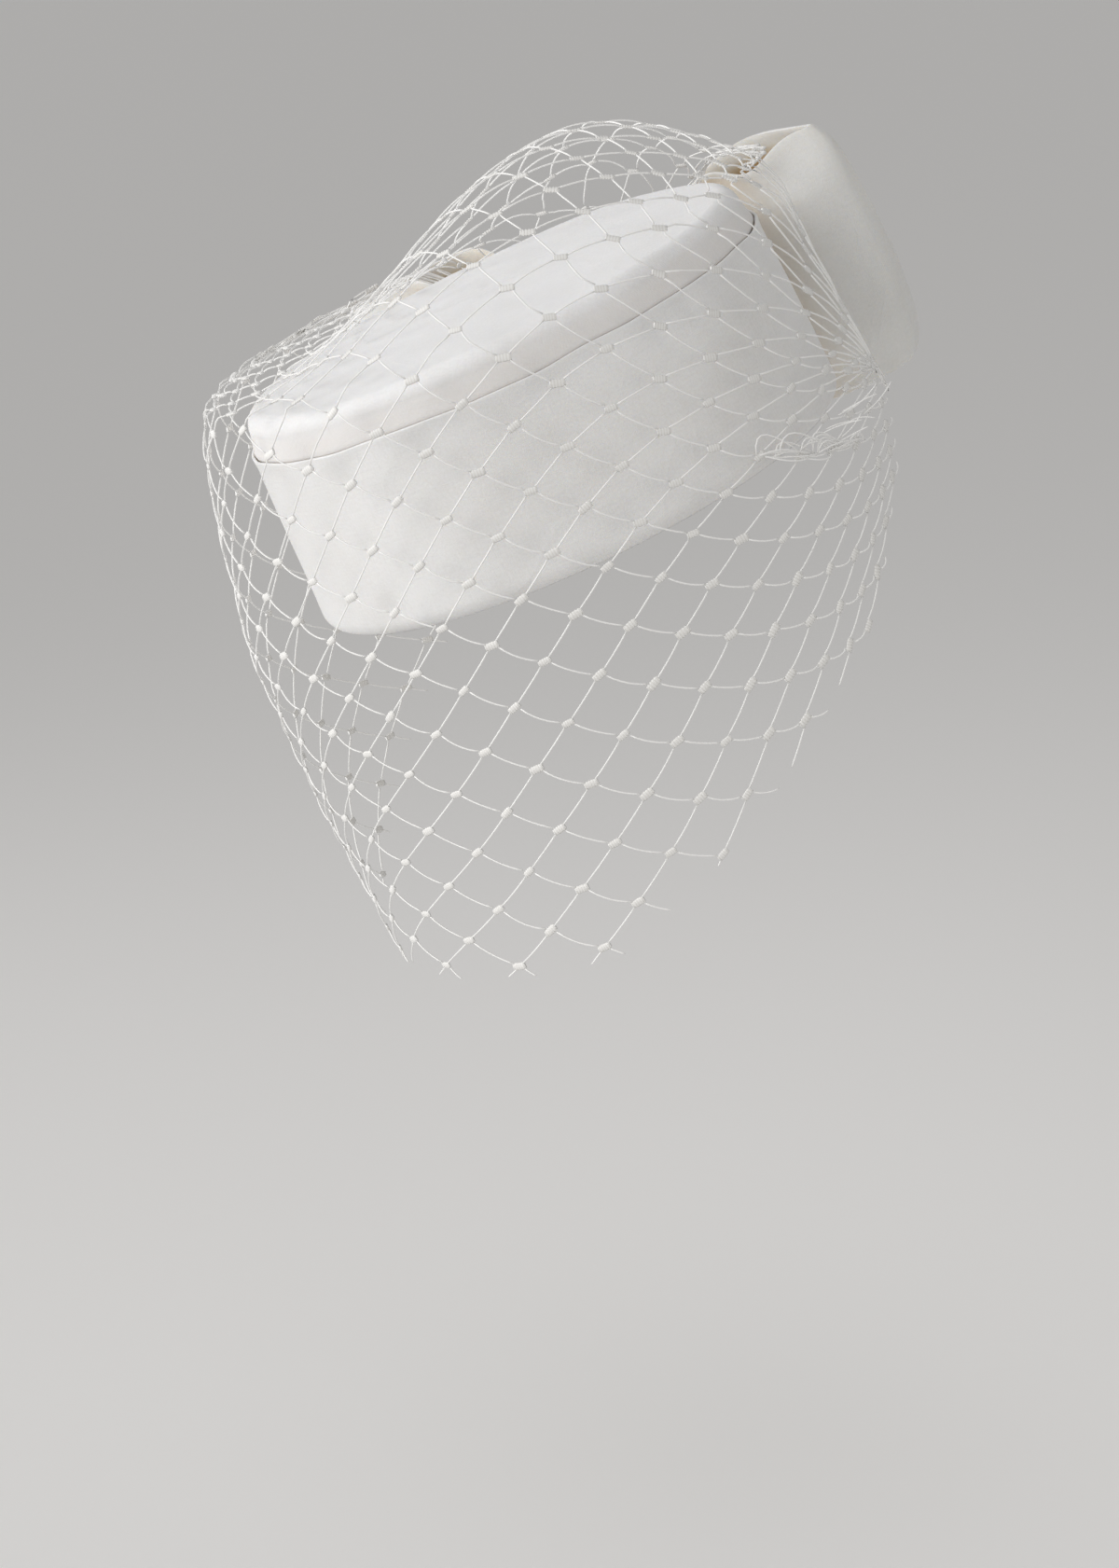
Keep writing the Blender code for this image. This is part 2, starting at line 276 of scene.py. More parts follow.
def satin_weave_group():
    """Fine satin on the UV map cloth. Long floats lie along one thread and short ties across it,
    so the height is mostly one sine. Slubs are noise stretched along the threads, and slow noise
    on the object makes the cloth a touch deeper in places. The point attribute shade mixes in the
    shaded colour: this is painted shade, laid on where each piece sets its shade."""
    group = node_group(
        "satin_weave",
        [("Light Colour", "NodeSocketColor", (0.8, 0.8, 0.8, 1.0)),
         ("Deep Colour", "NodeSocketColor", (0.7, 0.7, 0.7, 1.0)),
         ("Shaded Colour", "NodeSocketColor", (0.6, 0.55, 0.5, 1.0)),
         ("Base Roughness", "NodeSocketFloat", 0.4),
         ("Slub", "NodeSocketFloat", 0.5),
         ("Crease", "NodeSocketFloat", 0.5)],
        [("Colour", "NodeSocketColor"), ("Roughness", "NodeSocketFloat"), ("Height", "NodeSocketFloat")],
    )
    given = group.nodes.new("NodeGroupInput").outputs
    cloth = add_node(group, "ShaderNodeUVMap", {"uv_map": "cloth"}).outputs["UV"]
    space = group.nodes.new("ShaderNodeTexCoord").outputs["Object"]
    across = add_node(group, "ShaderNodeSeparateXYZ", links={"Vector": cloth}).outputs

    def maths(operation, first, second=None):
        made = add_node(group, "ShaderNodeMath", {"operation": operation})
        for socket, value in zip(made.inputs, (first, second)):
            if isinstance(value, (int, float)):
                socket.default_value = value
            elif value is not None:
                group.links.new(value, socket)
        return made.outputs["Value"]

    def noise(vector, scale, detail, stretch=(1.0, 1.0, 1.0), twist=0.0):
        mapped = add_node(group, "ShaderNodeMapping", values={"Scale": stretch}, links={"Vector": vector})
        values = {"Scale": scale, "Detail": detail, "Distortion": twist}
        made = add_node(group, "ShaderNodeTexNoise", None, values, {"Vector": mapped.outputs["Vector"]})
        return made.outputs["Fac"]

    floats = maths("SINE", maths("MULTIPLY", across["X"], math.tau / 0.00040))
    ties = maths("SINE", maths("MULTIPLY", across["Y"], math.tau / 0.00062))
    slub_long = noise(cloth, 1.0, 3.0, (1900.0, 60.0, 1.0))
    slub_cross = noise(cloth, 1.0, 3.0, (70.0, 1500.0, 1.0))
    cloud = noise(space, 26.0, 3.0)
    crease_noise = noise(space, 34.0, 2.0, (1.0, 1.0, 0.55), 1.2)
    from_middle = maths("ABSOLUTE", maths("SUBTRACT", maths("MULTIPLY", crease_noise, 2.0), 1.0))
    ridge = maths("POWER", maths("SUBTRACT", 1.0, from_middle), 9.0)
    speck = maths("SUBTRACT", noise(cloth, 1.0, 2.0, (1250.0, 1000.0, 1.0)), 0.5)
    slubs = maths("MULTIPLY", maths("ADD", slub_long, slub_cross), 0.5)
    streaks = maths("ADD", maths("SUBTRACT", slubs, 0.36), maths("MULTIPLY", speck, 1.1))
    deep = maths("ADD", maths("MULTIPLY", streaks, given["Slub"]),
                 maths("MULTIPLY", maths("SUBTRACT", cloud, 0.36), 1.3))
    deep = add_node(group, "ShaderNodeClamp", links={"Value": deep}).outputs["Result"]
    mixed = add_node(group, "ShaderNodeMix", {"data_type": "RGBA"}, links={0: deep})
    group.links.new(given["Light Colour"], mixed.inputs[6])
    group.links.new(given["Deep Colour"], mixed.inputs[7])
    # Painted shade: the shade attribute mixes the shaded colour into the cloth's colour
    shaded = add_node(group, "ShaderNodeAttribute", {"attribute_name": "shade"}).outputs["Fac"]
    turned = add_node(group, "ShaderNodeMix", {"data_type": "RGBA"}, links={0: shaded})
    group.links.new(mixed.outputs[2], turned.inputs[6])
    group.links.new(given["Shaded Colour"], turned.inputs[7])
    roughness = maths("ADD", given["Base Roughness"], maths("MULTIPLY", maths("SUBTRACT", slubs, 0.5), 0.22))
    threads = maths("ADD", maths("MULTIPLY", floats, 0.10), maths("MULTIPLY", ties, 0.05))
    height = maths("ADD", threads, maths("MULTIPLY", maths("ADD", slubs, speck), 0.55))
    height = maths("ADD", height, maths("MULTIPLY", maths("MULTIPLY", ridge, given["Crease"]), 1.6))
    height = maths("ADD", height, maths("MULTIPLY", cloud, 1.1))
    given_back = group.nodes.new("NodeGroupOutput").inputs
    group.links.new(turned.outputs[2], given_back["Colour"])
    group.links.new(roughness, given_back["Roughness"])
    group.links.new(height, given_back["Height"])
    return group


satin_weave = satin_weave_group()


def satin(name, light, deep, roughness, shaded=(0.62, 0.56, 0.49), slub=0.9, crease=0.5, bump=0.45,
          sheen=0.25, glow=0.0):
    """Satin material: the weave group gives colour, roughness and height, and the shader keeps
    its own sheen and the little light that passes through. shaded is the colour of painted shade."""
    made = bpy.data.materials.new(name)
    made.use_nodes = True
    tree = made.node_tree
    shader = tree.nodes["Principled BSDF"]
    finish = {"Light Colour": (*light, 1.0), "Deep Colour": (*deep, 1.0), "Shaded Colour": (*shaded, 1.0),
              "Base Roughness": roughness, "Slub": slub, "Crease": crease}
    weave = add_node(tree, "ShaderNodeGroup", {"node_tree": satin_weave}, finish)
    relief = add_node(tree, "ShaderNodeBump", None, {"Strength": bump, "Distance": 0.00035},
                      {"Height": weave.outputs["Height"]})
    tree.links.new(weave.outputs["Colour"], shader.inputs["Base Color"])
    tree.links.new(weave.outputs["Roughness"], shader.inputs["Roughness"])
    tree.links.new(relief.outputs["Normal"], shader.inputs["Normal"])
    shader.inputs["Sheen Weight"].default_value = sheen
    shader.inputs["Sheen Roughness"].default_value = 0.35
    shader.inputs["Specular IOR Level"].default_value = 0.45
    if glow > 0.0:
        shader.inputs["Subsurface Weight"].default_value = glow
        shader.inputs["Subsurface Radius"].default_value = (0.9, 0.72, 0.5)
        shader.inputs["Subsurface Scale"].default_value = 0.004
    return made


band_satin = satin("band_satin", (0.872, 0.870, 0.866), (0.768, 0.756, 0.742), 0.46, glow=0.15)
lining_cotton = satin("lining_cotton", (0.80, 0.785, 0.745), (0.72, 0.70, 0.655), 0.72, crease=1.0, sheen=0.1)

lip_low = band_height - lip_depth
lip_radius = band_top_radius + lip_proud
ledge = band_height - ledge_drop
wall_inside = band_top_radius - band_wall
rim_inner = band_radius(rim_corner_radius) - band_wall - hem_extra
hem_round = 0.0016
wall_foot = (rim_radius, rim_corner_radius)
band_profile = np.vstack([
    [(wall_inside, ledge - 0.0003), (wall_inside + 0.0003, ledge)],
    run((wall_inside + 0.0003, ledge), (lip_radius - 2.0 * fold_round, ledge), 2),
    [(lip_radius - 2.0 * fold_round, ledge)],
    arc((lip_radius - fold_round, band_height + fold_stand - fold_round), fold_round, 180, 0, 11),
    run((lip_radius, band_height + fold_stand - fold_round), (band_radius(lip_low), lip_low), 5),
    run((band_radius(lip_low), lip_low + 0.0005), wall_foot, 36),
    arc((rim_radius - rim_corner_radius, rim_corner_radius), rim_corner_radius, 0, -68, 12),
    arc((rim_inner + hem_round, hem_round), hem_round, -112, -180, 6),
    run((rim_inner, hem_round), (rim_inner, hem_height), 6),
    arc((rim_inner + 0.0005, hem_height), 0.0005, 180, 90, 4),
    run((band_radius(hem_height) - band_wall, hem_height + 0.0006), (wall_inside, ledge - 0.0003), 18),
])
band_around = 320
turn, step = np.meshgrid(np.linspace(0.0, math.tau, band_around, endpoint=False),
                         np.arange(len(band_profile)), indexing="ij")
radius = band_profile[step, 0]
height = band_profile[step, 1]
outer_share = np.where(radius > band_radius(height) - band_wall * 0.6, 1.0, 0.0)
wall_share = ease((height - 0.004) / 0.008) * ease((band_height + 0.002 - height) / 0.006)
pulled = 0.00035 * ripple(turn, height, 3) + puckers(turn, height, lip_low, 5)
radius = radius + outer_share * wall_share * pulled
lip_share = ease((height - lip_low + 0.001) / 0.003)
height = height + lip_share * lip_wave(turn)
radius = radius + lip_share * outer_share * 0.00010 * ripple(turn, 0.0 * height, 9, slowest=9, fastest=41)
band_points = np.stack([radius * np.sin(turn), -radius * np.cos(turn), height], axis=-1)
profile_steps = np.linalg.norm(np.diff(np.vstack([band_profile, band_profile[:1]]), axis=0), axis=1)
profile_run = np.concatenate([[0.0], np.cumsum(profile_steps)])
cloth_round = np.linspace(0.0, math.tau, band_around + 1) * rim_radius
band_cloth = np.stack(np.meshgrid(cloth_round, profile_run, indexing="ij"), axis=-1)
behind_wall = band_profile[:, 0] < band_radius(band_profile[:, 1]) - band_wall * 0.7
inner_rows = behind_wall & (band_profile[:, 1] > hem_height) & (band_profile[:, 1] < lip_low)
# Painted shade: the ledge behind the folded edge, down in the seam, takes 0.7 of the shaded colour
on_ledge = (band_profile[:, 0] < lip_radius - 1.6 * fold_round) & (band_profile[:, 1] > lip_low)
band_shade = np.broadcast_to(np.where(on_ledge, 0.7, 0.0), (band_around, len(band_profile)))
band_inner = np.broadcast_to(inner_rows, (band_around, len(band_profile)))
side_band = cloth_surface("band_cover", worn(band_points), band_cloth, True, True,
                          (band_satin, lining_cotton), band_inner, band_shade)
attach(side_band, "root")
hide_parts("side_band")


# Crown tip
# A flat round of satin over thin buckram. Its edge is turned down and goes in behind the band's
# folded edge, so that it shows as a narrow sloping strip with a thin line of shade at the seam.
# The strip's darker warm tone and that seam line are also painted shade in the colour.
tip_wall = 0.0024
tip_rise = 0.0125
tip_corner_radius = 0.0054
tip_dome = 0.0020
tip_skirt_depth = 0.0090
seam_gap = 0.0003
strip_lean = 0.0016

tip_satin = satin("tip_satin", (0.88, 0.88, 0.89), (0.79, 0.785, 0.78), 0.72, shaded=(0.72, 0.68, 0.64),
                  slub=0.8, crease=0.3, sheen=0.12, glow=0.15)

tip_height = band_height + tip_rise
skirt_radius = wall_inside - seam_gap
strip_foot = lip_radius - 2.0 * fold_round - seam_gap
shoulder = (strip_foot - strip_lean - tip_corner_radius, tip_height - tip_corner_radius)
inner_corner = tip_corner_radius - tip_wall
skirt_inner = skirt_radius - tip_wall


def tip_crown(radii, under):
    """Height of the tip's flat: the top less the dome's fall, which grows with the square of the
    distance from the axis."""
    return tip_height + tip_dome * (1.0 - (radii / shoulder[0]) ** 2) - under


flat_radii = np.linspace(0.0, shoulder[0], 30)[:-1]
tip_profile = np.vstack([
    np.stack([flat_radii, tip_crown(flat_radii, 0.0)], axis=-1),
    arc(shoulder, tip_corner_radius, 90, 0, 20),
    run((shoulder[0] + tip_corner_radius, shoulder[1]), (strip_foot, ledge + 0.0012), 5),
    [(strip_foot, ledge + 0.0012), (strip_foot - 0.0001, ledge + 0.0007)],
    [(strip_foot - 0.0005, ledge + seam_gap)],
    [(skirt_radius, ledge + seam_gap), (skirt_radius, ledge - 0.0005)],
    run((skirt_radius, ledge - 0.0005), (skirt_radius, ledge - tip_skirt_depth), 3),
    [(skirt_radius, ledge - tip_skirt_depth), (skirt_inner, ledge - tip_skirt_depth)],
    run((skirt_inner, ledge - tip_skirt_depth), (skirt_inner, shoulder[1]), 4),
    arc((skirt_inner - inner_corner, shoulder[1]), inner_corner, 0, 90, 10),
    np.stack([flat_radii[::-1][2:], tip_crown(flat_radii[::-1][2:], tip_wall)], axis=-1),
])
tip_around = 256
turn, step = np.meshgrid(np.linspace(0.0, math.tau, tip_around, endpoint=False),
                         np.arange(len(tip_profile)), indexing="ij")
radius = tip_profile[step, 0]
height = tip_profile[step, 1]
strip_end = len(flat_radii) + 28
tip_outer = np.where(step < strip_end, 1.0, 0.0)
roll_share = ease((radius - shoulder[0] * 0.93) / 0.010) * tip_outer
free_share = ease((height - ledge - 0.001) / 0.004)
flat_share = ease(radius / 0.02) * (1.0 - ease((radius - shoulder[0]) / 0.006))
# Painted shade: the turned strip takes up to 0.42 of the shaded colour, and its foot at the seam all of it, a
# painted shadow line
strip_shade = 0.42 * roll_share * (1.0 - ease((height - ledge - 0.004) / 0.008))
tip_shade = np.maximum(strip_shade, tip_outer * (1.0 - ease((height - ledge - 0.0008) / 0.0008)))
height = height + 0.00030 * ripple(turn, radius * 1.2, 21, fastest=9) * flat_share
height = height + roll_share * (1.0 - free_share) * lip_wave(turn)
gathers = ripple(turn, 0.0 * radius, 22, count=9, slowest=40, fastest=110)
height = height + 0.00007 * gathers * roll_share * free_share
radius = radius + 0.00022 * ripple(turn, height, 23, slowest=5, fastest=19) * roll_share * free_share
tip_points = np.stack([radius * np.sin(turn), -radius * np.cos(turn), height], axis=-1)
tip_run = np.concatenate([[0.0], np.cumsum(np.linalg.norm(np.diff(tip_profile, axis=0), axis=1))])
wide_turn, wide_run = np.meshgrid(np.linspace(0.0, math.tau, tip_around + 1), tip_run, indexing="ij")
tip_cloth = np.stack([wide_run * np.sin(wide_turn), wide_run * np.cos(wide_turn)], axis=-1)
tip_inner = np.broadcast_to(np.arange(len(tip_profile)) > strip_end + 4, (tip_around, len(tip_profile)))
crown_tip = cloth_surface("tip_cover", worn(tip_points), tip_cloth, True, False, (tip_satin, lining_cotton),
                          tip_inner, tip_shade)
merge_poles(crown_tip)
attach(crown_tip, "root")
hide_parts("crown_tip")


# Head ribbon
# A cream corded ribbon stitched round the inside of the rim, over the turned-in satin. It is
# drawn as one closed ring.
ribbon_tall = 0.0150
ribbon_thick = 0.0007
ribbon_low = 0.0022
rib_pitch = 0.0011

ribbon_cord = satin("ribbon_cord", (0.80, 0.775, 0.72), (0.72, 0.69, 0.63), 0.62, slub=0.7, crease=0.2,
                    sheen=0.15)
ribbon_section = np.vstack([
    arc((0.0, ribbon_low + ribbon_thick / 2), ribbon_thick / 2, 0, -180, 5),
    run((-ribbon_thick / 2, ribbon_low + ribbon_thick / 2), (-ribbon_thick / 2, ribbon_low + ribbon_tall), 7),
    arc((0.0, ribbon_low + ribbon_tall), ribbon_thick / 2, 180, 0, 5),
    run((ribbon_thick / 2, ribbon_low + ribbon_tall), (ribbon_thick / 2, ribbon_low + ribbon_thick / 2), 3),
])
rib_steps = 2 * int(round(math.tau * (rim_inner - 0.001) / rib_pitch))
turn, step = np.meshgrid(np.linspace(0.0, math.tau, rib_steps, endpoint=False),
                         np.arange(len(ribbon_section)), indexing="ij")
height = ribbon_section[step, 1]
lay_in = np.where(height > hem_height, band_radius(height) - band_wall, rim_inner)
lay_in = np.minimum(lay_in, rim_inner + 0.4 * np.clip(height - hem_height, 0.0, None))
cord_rows = np.where(np.arange(rib_steps) % 2 == 0, 0.00012, 0.0)[:, None]
cords = cord_rows * np.where(ribbon_section[step, 0] < 0.0, 1.0, 0.0)
radius = lay_in - 0.00055 + ribbon_section[step, 0] - cords + 0.00015 * ripple(turn, height, 31)
ribbon_points = np.stack([radius * np.sin(turn), -radius * np.cos(turn), height], axis=-1)
ribbon_round = np.linspace(0.0, math.tau, rib_steps + 1) * rim_radius
ribbon_across = np.linspace(0.0, 2.2 * ribbon_tall, len(ribbon_section) + 1)
ribbon_cloth = np.stack(np.meshgrid(ribbon_round, ribbon_across, indexing="ij"), axis=-1)
head_ribbon = cloth_surface("head_ribbon", worn(ribbon_points), ribbon_cloth, True, True, (ribbon_cord,))
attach(head_ribbon, "root")
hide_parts("side_band")


# Bow
# Two flat loops of wide satin ribbon, doubled, set at the back of the band. Each loop is pinched
# into pleats at the middle and opens into a soft full fold at its outer end. Along the top and
# the bottom its two layers lean together, and leave a small hollow between them.
bow_reach = 0.0880
bow_middle = (-0.0080, 0.0952, 0.0265)
bow_start = 0.0035
ribbon_half_width = 0.0430
pinch_half_width = 0.0190
ribbon_wall = 0.0011
loop_puff = 0.0145
pinch_puff = 0.0024
pleat_depth = 0.0022
pleat_count = 3
hollow_dip = 0.0075
hollow_share = {1: 0.74, -1: 0.50}
hollow_width = 0.13
opens_by = {1: 0.72, -1: 0.47}

# The bow's outer satin is greyer than the hat's: painted shade. Both shaded colours are painted warm shade,
# near the wrap and down in the hollow
bow_satin = satin("bow_satin", (0.785, 0.78, 0.76), (0.68, 0.67, 0.64), 0.44, shaded=(0.66, 0.48, 0.28),
                  slub=0.7, crease=0.6, sheen=0.3, glow=0.3)
bow_inside = satin("bow_inside", (0.86, 0.85, 0.82), (0.77, 0.75, 0.70), 0.46, shaded=(0.62, 0.45, 0.25),
                   slub=0.5, glow=0.3)


def loop_middle(side, turn, level):
    """The ribbon's middle surface. Share is half of one less cos turn: 0 at the wrap, 1 at the
    outer fold. The loop's half thickness grows with share to the power 0.8, and shrinks towards
    the top and the bottom edge, less so at the hollow, where the near layer's edge also dips. Its
    half height eases out to the ribbon's width. The pleats are cosines of level that fade with
    share, and two slow waves and a slanting ridge bend the face. The fold bulges outward by the
    square of level."""
    share = (1.0 - np.cos(turn)) / 2.0 + 0.0 * level
    puff = pinch_puff + (loop_puff - pinch_puff) * share**0.8
    hollow = np.exp(-(((share - hollow_share[side]) / hollow_width) ** 2))
    closed = 0.74 * ease((level - 0.50) / 0.50) * (1.0 - 0.7 * hollow) + 0.55 * ease((-level - 0.60) / 0.40)
    puff = puff - (puff - ribbon_wall) * closed + 0.0012 * hollow * ease((level - 0.6) / 0.4)
    half = pinch_half_width + (ribbon_half_width - pinch_half_width) * ease(share / opens_by[side])
    half = half - 0.0030 * share**6
    fade = 1.0 - ease(share / 0.75)
    pleats = pleat_depth * np.cos(math.tau * pleat_count * level / 2.0) * fade
    bend = 0.0016 * np.sin(2.6 * level + 3.4 * share + side) + 0.0009 * np.sin(5.2 * level - 4.1 * share)
    ridge_fade = np.clip(share * (1.0 - share) * 4.0, 0.0, 1.0)
    ridge = 0.0016 * np.exp(-(((level - 0.85 + 1.5 * share) / 0.20) ** 2)) * ridge_fade
    round_turn = np.sign(np.sin(turn)) * np.abs(np.sin(turn)) ** 0.62
    stretch = 1.0 + 0.045 * (1.0 - level**2) - 0.05 * level**10
    x = bow_middle[0] + side * (bow_start + bow_reach * share * stretch)
    y = bow_middle[1] - puff * round_turn * (1.0 - 0.12 * level * share) + pleats + (bend - ridge) * share
    near = ease(np.sin(turn) * 3.0)
    z = bow_middle[2] + half * level - hollow_dip * hollow * near * ease((level - 0.40) / 0.60)
    return np.stack([x, y, z], axis=-1)


def strip_section(across):
    """Round a strip's cross-section: the place across the width, from -1 to 1, and the turn in
    radians from one face over a round edge to the other face and back."""
    up = np.linspace(-1.0, 1.0, across)
    level = np.concatenate([up, np.full(3, 1.0), up[::-1], np.full(3, -1.0)])
    tilt = np.concatenate([0.0 * up, [45.0, 90.0, 135.0], 0.0 * up + 180.0, [225.0, 270.0, 315.0]])
    return level[None, :], np.radians(tilt)[None, :]


def ribbon_loop(side, around=220, across=44):
    """The loop with its thickness: round each cross-section the point goes up the outer face,
    over a round edge, down the inner face and round the lower edge. It stands off the middle
    surface by half the wall along that surface's own normal, and along the level at the edges.
    It also gives each point's share of painted warm shade, near the wrap and down in the hollow."""
    turn = np.linspace(0.0, math.tau, around, endpoint=False)[:, None]
    level, tilt = strip_section(across)
    tilt = tilt[..., None]
    here = loop_middle(side, turn, level)
    along = loop_middle(side, turn + 1e-4, level) - loop_middle(side, turn - 1e-4, level)
    upward = loop_middle(side, turn, level + 1e-4) - loop_middle(side, turn, level - 1e-4)
    normal = np.cross(along, upward)
    normal = normal / np.linalg.norm(normal, axis=-1, keepdims=True) * side
    edge = upward / np.linalg.norm(upward, axis=-1, keepdims=True)
    solid = here + ribbon_wall / 2.0 * (normal * np.cos(tilt) + edge * np.sin(tilt))
    steps = np.linalg.norm(np.diff(np.concatenate([here, here[:1]]), axis=0), axis=-1)[:, :1]
    along_cloth = np.concatenate([[0.0], np.cumsum(steps[:, 0])])
    width = np.concatenate([level[0] * ribbon_half_width, [-ribbon_half_width]])
    cloth = np.stack(np.meshgrid(along_cloth, width, indexing="ij"), axis=-1)
    inside = np.zeros(level.shape[1], dtype=bool)
    inside[across + 3:2 * across + 2] = True
    # Painted warm shade: the layer facing the band darkens towards the wrap, the far layer less, and the
    # inner face down in the hollow takes the golden shaded colour
    share = (1.0 - np.cos(turn)) / 2.0
    faces_band = np.sin(turn) > 0.0
    wrap_shade = np.where(faces_band, 1.0 - ease((share - 0.25) / 0.62), 0.4 * (1.0 - ease(share / 0.80)))
    hollow_shade = (1.0 - ease((level - 0.80) / 0.13)) * (0.5 + 0.5 * ease((level - 0.2) / 0.5))
    on_inner_face = np.cos(tilt[..., 0]) < -0.5
    shade = np.where(on_inner_face, np.maximum(wrap_shade, hollow_shade), wrap_shade * (level < 0.999))
    return solid, cloth, np.broadcast_to(inside, solid.shape[:2]), shade


for side, node in ((1, "bow_loop_left"), (-1, "bow_loop_right")):
    loop_points, loop_cloth, loop_inside, loop_shade = ribbon_loop(side)
    bow_loop = cloth_surface(node + "_ribbon", worn(loop_points), loop_cloth, True, True,
                             (bow_satin, bow_inside), loop_inside, loop_shade)
    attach(bow_loop, "root")
    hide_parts(node)


# Bow wrap
# A short strip of the same satin wound once round the pinched middle of the bow. It is folded
# lengthways into soft pleats, its raw edges turned in, and sewn down behind.
knot_width = 0.0200
knot_wall = 0.0016
knot_inside_y = pinch_puff + pleat_depth + 0.0039
knot_inside_z = pinch_half_width + 0.0046


def squared(turn, power=0.5):
    """A circle's cosine or sine drawn out towards a square: its sign times its size to a power."""
    return np.sign(turn) * np.abs(turn) ** power


knot_turn = np.linspace(0.0, math.tau, 120, endpoint=False)[:, None]
knot_across = 34
knot_along, knot_tilt = strip_section(knot_across)
swell = 0.0012 * (1.0 - knot_along**2)
pleat = 0.0005 * np.cos(knot_along * 9.5 + 0.35 * np.sin(knot_turn * 2.0 + 0.7)) * (1.0 - knot_along**4)
outward = swell + knot_wall / 2.0 + knot_wall / 2.0 * np.cos(knot_tilt) + pleat * (np.cos(knot_tilt) > 0.5)
knot_points = np.stack([
    bow_middle[0] + knot_width / 2.0 * knot_along + knot_wall / 2.0 * np.sin(knot_tilt) + 0.0 * knot_turn,
    bow_middle[1] + (knot_inside_y + outward) * squared(np.cos(knot_turn)),
    bow_middle[2] + (knot_inside_z + outward) * squared(np.sin(knot_turn)),
], axis=-1)
knot_widths = np.concatenate([knot_along[0], [-1.0]]) * knot_width / 2.0
knot_cloth = np.stack(np.meshgrid(np.linspace(0.0, 0.11, 121), knot_widths, indexing="ij"), axis=-1)
bow_wrap = cloth_surface("bow_wrap_satin", worn(knot_points), knot_cloth, True, True, (bow_satin,))
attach(bow_wrap, "root")
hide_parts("bow_wrap")


# Net veil
# Cream net with diamond meshes about 30 by 20 mm. Stiff threads run slantwise both ways, and
# where two cross they are worked into a small flat ribbed knot. The net is gathered under the
# bow, puffs over the tip, hangs round the face and ends in a cut edge.
net_edge_radius = 0.0905
net_edge_height = 0.0760
pouf_height = 0.0370
pouf_back_drop = 0.0035
gather_radius = 0.0859
gather_height = 0.0570
gather_half_width = 0.0180
net_left_end = 114.0
net_right_end = -132.0

net_fall = {
    "height": [net_edge_height, 0.0640, 0.0400, 0.0000, -0.0500, -0.1150],
    "front_radius": [net_edge_radius, 0.0950, 0.0955, 0.0970, 0.1010, 0.1040],
    "left_radius": [net_edge_radius, 0.0950, 0.0960, 0.1000, 0.1050, 0.1050],
    "right_radius": [net_edge_radius, 0.0970, 0.1060, 0.1160, 0.1170, 0.1140],
    "back_radius": [net_edge_radius, 0.0940, 0.0910, 0.0874, 0.0880, 0.0880],
}
net_cut = {
    "turn_deg": [-132.0, -118.0, -95.0, -65.0, 0.0, 30.0, 60.0, 90.0, 116.0],
    "height": [-0.012, -0.045, -0.078, -0.102, -0.106, -0.084, -0.052, -0.020, -0.004],
}
# How the meshes lie, one row every second mesh round the head: the direction and the drop of the
# mesh row through the middle, and how each changes for a row above it or below it. These numbers
# were made by a program, a least squares fit to where the photo shows the knots.
mesh_lie = {
    "mesh": [-11.0, -9.0, -7.0, -5.0, -3.0, -1.0, 1.0, 3.0],
    "turn_deg": [-124.0, -94.0, -64.0, -33.9, -3.2, 26.9, 58.6, 94.3],
    "turn_above": [0.0, 0.1, 0.0, -0.6, -2.7, -4.2, -5.1, -4.4],
    "turn_below": [0.1, 0.0, -0.5, -1.5, -0.9, -0.5, -1.2, -3.1],
    "drop_mm": [44.1, 44.1, 44.0, 43.7, 35.8, 38.4, 53.8, 59.6],
    "rise_above": [20.0, 20.0, 20.0, 20.1, 20.9, 16.9, 7.0, -5.6],
    "fall_below": [20.0, 20.0, 20.0, 17.8, 19.0, 17.9, 12.2, 7.4],
}


def fall_radius(turn_deg, height):
    """Distance of the hanging net from the axis: the front, back, left and right columns of
    net_fall at that height, mixed by the squares of the direction's cosine and sine."""
    heights = net_fall["height"][::-1]
    column = {key: np.interp(height, heights, net_fall[key][::-1]) for key in net_fall}
    front = np.clip(np.cos(np.radians(turn_deg)), 0.0, 1.0) ** 2
    back = np.clip(-np.cos(np.radians(turn_deg)), 0.0, 1.0) ** 2
    left = np.where(turn_deg > 0.0, 1.0 - front - back, 0.0)
    right = np.where(turn_deg > 0.0, 0.0, 1.0 - front - back)
    return (column["front_radius"] * front + column["back_radius"] * back
            + column["left_radius"] * left + column["right_radius"] * right)


def hanging_net(turn_deg, drop):
    """A point of the net below the tip's edge, at that distance from the axis and that drop."""
    height = net_edge_height - drop
    radius = fall_radius(turn_deg, height)
    turn = np.radians(turn_deg)
    return np.stack([radius * np.sin(turn), -radius * np.cos(turn), height], axis=-1)


